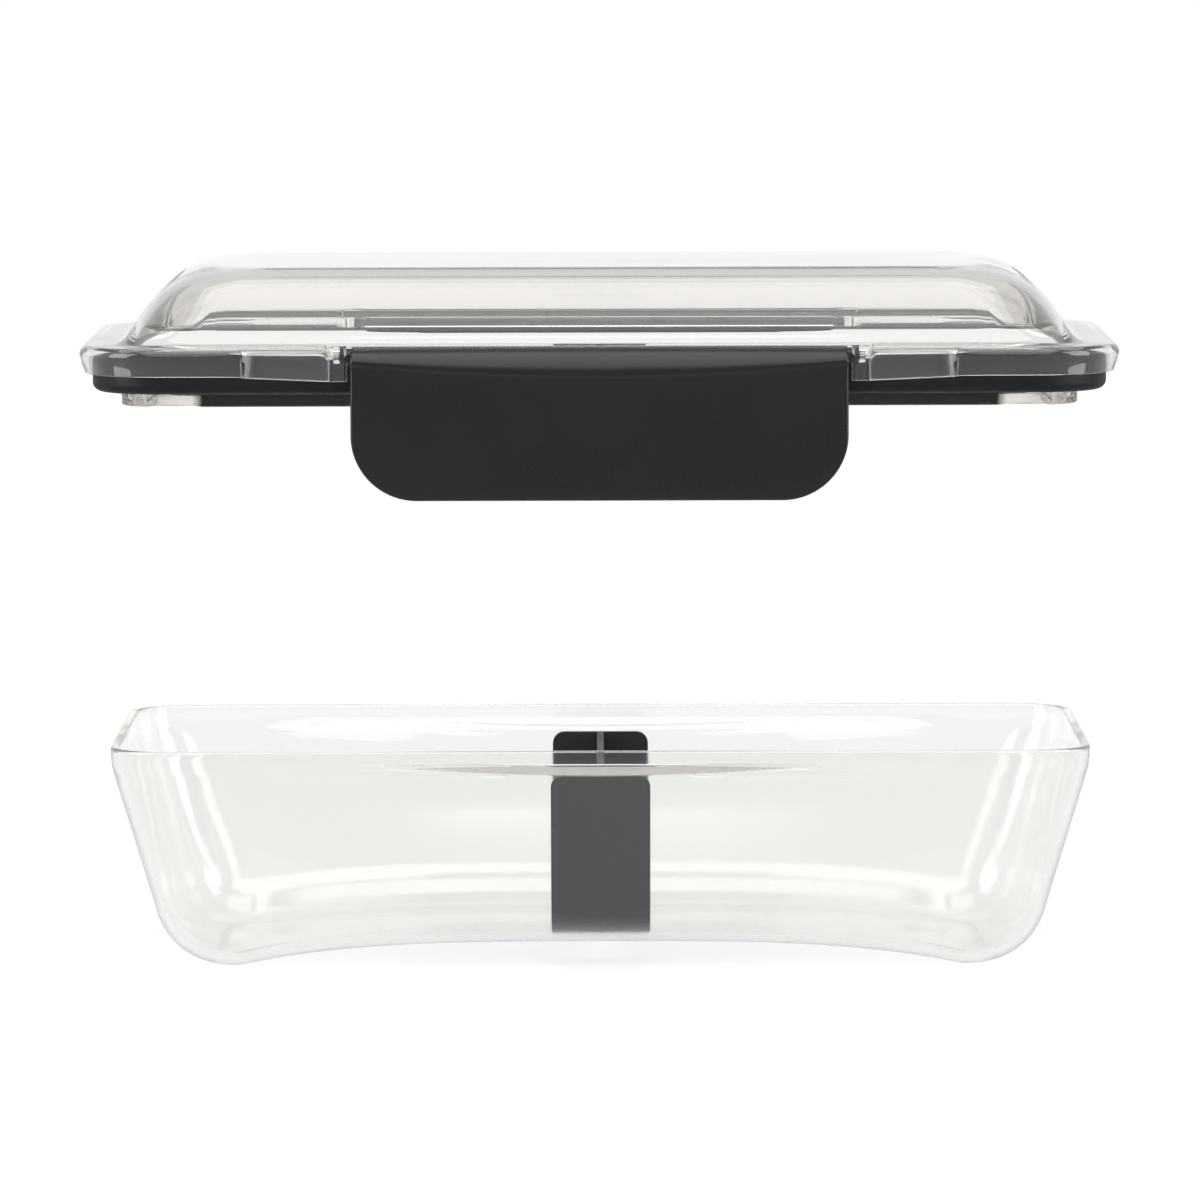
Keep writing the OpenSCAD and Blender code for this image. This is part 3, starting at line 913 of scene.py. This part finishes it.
def make_latch(name, sign):
    """A latch on the +Y side for sign 1, and on the -Y side for -1."""
    latch = loft_across(name, latch_places(), latch_loop)
    hook_x = [HOOK_HALF * k / 24 for k in range(-23, 24)]
    ends = [HOOK_HALF - s for s in (0.3, 0.1, 0.0)]
    hook = loft_across("hook", [-e for e in ends[::-1]] + hook_x + ends, hook_loop)
    root = LATCH_FRONT - LATCH_T / 2
    high = HOOK_TOP - 1
    web = [(root, high), (HOOK_TIP + 3, high), (HOOK_TIP + 3.4, high - 0.9), (root, high - GUSSET_H)]
    gussets = []
    for x in (-GUSSET_X, 0, GUSSET_X):
        plate = loft_across("gusset", [x - HOOK_T / 2, x + HOOK_T / 2], lambda _: web)
        gussets.append(bevelled(plate, 0.2, 2))
    pins = []
    for s in (-1, 1):
        ends = sorted((s * (LATCH_HALF - 1), s * LATCH_PIN_X))
        pins.append(cylinder_x("pin", *ends, HINGE_Y, HINGE_Z, PIN_R, edge=0.3))
    combine(latch, [hook, *gussets, *pins], "UNION")
    latch.data.transform(Matrix.Translation((0, 0, LID_Z * MM)))
    if sign < 0:
        latch.data.transform(Matrix.Rotation(math.pi, 4, "Z"))
    return latch


# ======================================================================================
# Stage
# ======================================================================================
def make_world():
    """White sweep for the camera, which is a little dimmer overhead when seen through clear plastic.
    Reflections see a studio that is darker high up and behind the camera."""
    world = bpy.data.worlds.new("studio")
    bpy.context.scene.world = world
    world.use_nodes = True
    tree = world.node_tree
    tree.nodes.clear()
    link = tree.links.new
    place = tree.nodes.new("ShaderNodeTexCoord")
    split = tree.nodes.new("ShaderNodeSeparateXYZ")
    link(place.outputs["Generated"], split.inputs["Vector"])

    def span(value, low, high, to_low, to_high):
        node = tree.nodes.new("ShaderNodeMapRange")
        node.interpolation_type = "SMOOTHSTEP"
        for key, number in zip(("From Min", "From Max", "To Min", "To Max"), (low, high, to_low, to_high)):
            node.inputs[key].default_value = number
        link(value, node.inputs["Value"])
        return node.outputs["Result"]

    def choose(factor, a, b):
        node = tree.nodes.new("ShaderNodeMix")
        for key, value in (("A", a), ("B", b)):
            if isinstance(value, float):
                node.inputs[key].default_value = value
            else:
                link(value, node.inputs[key])
        link(factor, node.inputs["Factor"])
        return node.outputs["Result"]
    path = tree.nodes.new("ShaderNodeLightPath")
    overhead = span(split.outputs["Z"], 0.12, 0.4, 1.0, 0.8)
    studio = tree.nodes.new("ShaderNodeMath")
    studio.operation = "MULTIPLY"
    link(span(split.outputs["Z"], 0.2, 0.6, 1.0, 0.5), studio.inputs[0])
    link(span(split.outputs["Y"], -0.8, -0.3, 0.25, 1.0), studio.inputs[1])
    strength = choose(path.outputs["Is Glossy Ray"], 0.3, studio.outputs["Value"])
    strength = choose(path.outputs["Is Transmission Ray"], strength, overhead)
    strength = choose(path.outputs["Is Camera Ray"], strength, 1.0)
    back = tree.nodes.new("ShaderNodeBackground")
    back.inputs["Color"].default_value = (1, 1, 1, 1)
    link(strength, back.inputs["Strength"])
    out = tree.nodes.new("ShaderNodeOutputWorld")
    link(back.outputs["Background"], out.inputs["Surface"])


def make_floor():
    """White table top that keeps the object's soft shadow and turns into the plain white sweep further out.
    It glows half as strongly in rays that are mirrored and don't pass through clear plastic."""
    bpy.ops.mesh.primitive_circle_add(vertices=96, radius=6, fill_type="NGON")
    floor = bpy.context.object
    floor.name = "floor"
    n = Nodes("white_table")
    n.tree.nodes.remove(n.shader)
    length = n.add("ShaderNodeVectorMath", operation="LENGTH")
    n.link(n.place, length.inputs[0])
    shade = n.add("ShaderNodeBsdfDiffuse")
    shade.inputs["Color"].default_value = (0.9, 0.9, 0.9, 1)
    glow = n.add("ShaderNodeEmission")
    path = n.add("ShaderNodeLightPath")
    mirrored = n.math("GREATER_THAN", path.outputs["Is Glossy Ray"], path.outputs["Is Transmission Ray"])
    n.link(n.span(mirrored, 0, 1, 1.0, 0.5), glow.inputs["Strength"])
    seen = n.math("MAXIMUM", path.outputs["Is Camera Ray"], path.outputs["Is Transmission Ray"])
    seen = n.math("MAXIMUM", seen, path.outputs["Is Glossy Ray"])
    spread = n.span(length.outputs["Value"], 0.14, 0.4, 0.72, 1.0)
    blend = n.add("ShaderNodeMixShader")
    n.link(n.math("MULTIPLY", seen, spread), blend.inputs["Fac"])
    n.link(shade.outputs["BSDF"], blend.inputs[1])
    n.link(glow.outputs["Emission"], blend.inputs[2])
    n.link(blend.outputs["Shader"], n.out.inputs["Surface"])
    floor.data.materials.append(n.mat)
    floor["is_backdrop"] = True


def add_softbox(name, at, size, power):
    """Area lamp that faces the object."""
    data = bpy.data.lights.new(name, "AREA")
    data.shape = "RECTANGLE"
    data.size, data.size_y = size
    data.energy = power
    lamp = bpy.data.objects.new(name, data)
    bpy.context.scene.collection.objects.link(lamp)
    lamp.location = at
    aim = Vector((0, 0, 0.08)) - lamp.location
    lamp.rotation_euler = aim.to_track_quat("-Z", "Y").to_euler()


def add_camera():
    data = bpy.data.cameras.new("camera")
    data.sensor_width = SENSOR
    data.lens = FOCAL_PX / PHOTO_SIDE * SENSOR
    data.clip_start, data.clip_end = 0.05, 50
    camera = bpy.data.objects.new("camera", data)
    bpy.context.scene.collection.objects.link(camera)
    tilt = Matrix.Rotation(math.pi / 2 - CAMERA_PITCH, 4, "X")
    camera.matrix_world = Matrix.Translation(CAMERA_AT) @ tilt @ Matrix.Rotation(CAMERA_ROLL, 4, "Z")
    bpy.context.scene.camera = camera


# ======================================================================================
# The object
# ======================================================================================
CLEAR_BODY = clear_plastic(
    "clear_body", tint=((0.935, 0.93, 0.918), (0.955, 0.951, 0.94)), haze=(0.03, 0.09),
    absorb=(0.82, 0.8, 0.77), density=12, gloss=0.4)
# Painted shade on the lid's tongue: a nearly black colour, how far it reaches from the middle, and the
# heights between which it lies
TONGUE_PAINTED_SHADE = ((0.003, 0.0028, 0.0025), 83.0, LID_Z - TONGUE_H - 1, LID_Z - SEAL_H - 0.35)
LID_FROST = (EAR_OUT - 0.2, BULGE_END + 2, LID_Y + 0.1, 0.3)
CLEAR_LID = clear_plastic(
    "clear_lid", tint=((0.843, 0.829, 0.812), (0.858, 0.845, 0.829)), haze=(0.0, 0.02),
    absorb=(0.8, 0.78, 0.75), density=8, gloss=0.25, painted_shade=TONGUE_PAINTED_SHADE, frost=LID_FROST)
LATCH_PLASTIC = dark_plastic(
    "latch_plastic", (0.006, 0.0059, 0.006), (0.0085, 0.0083, 0.0084), (0.27, 0.34), 0.22, 0.42)
DIVIDER_PLASTIC = dark_plastic(
    "divider_plastic", (0.010, 0.010, 0.011), (0.016, 0.016, 0.017), (0.4, 0.5), 0.3, 0.18)
SEAL_RUBBER = seal_rubber("seal_rubber")

add_camera()
make_world()
make_floor()
add_softbox("top_softbox", (0, -0.49, 1.14), (1.1, 1.9), 14.4)
add_softbox("left_softbox", (-0.75, -0.35, 0.4), (0.42, 0.8), 5.8)
add_softbox("right_softbox", (0.75, -0.35, 0.4), (0.42, 0.8), 5.8)

finish_piece(make_container(), "container", ["container"], CLEAR_BODY)
finish_piece(make_divider(), "divider", ["divider"], DIVIDER_PLASTIC)
finish_piece(make_lid(), "lid", ["lid"], CLEAR_LID)
finish_piece(make_seal(), "lid", ["gasket"], SEAL_RUBBER)
front_latch, rear_latch = make_latch("front_latch_plate", -1), make_latch("rear_latch_plate", 1)
finish_piece(front_latch, "front_latch", ["front_latch"], LATCH_PLASTIC)
finish_piece(rear_latch, "rear_latch", ["rear_latch"], LATCH_PLASTIC)

bpy.context.scene.view_settings.view_transform = "Standard"
cycles = bpy.context.scene.cycles
cycles.max_bounces = cycles.transmission_bounces = cycles.glossy_bounces = CLEAR_BOUNCES
cycles.transparent_max_bounces = SHADOW_BOUNCES

boxes = {"cad": cad_box, "visual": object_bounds()}
{key: [list(corner) for corner in box] for key, box in boxes.items()}
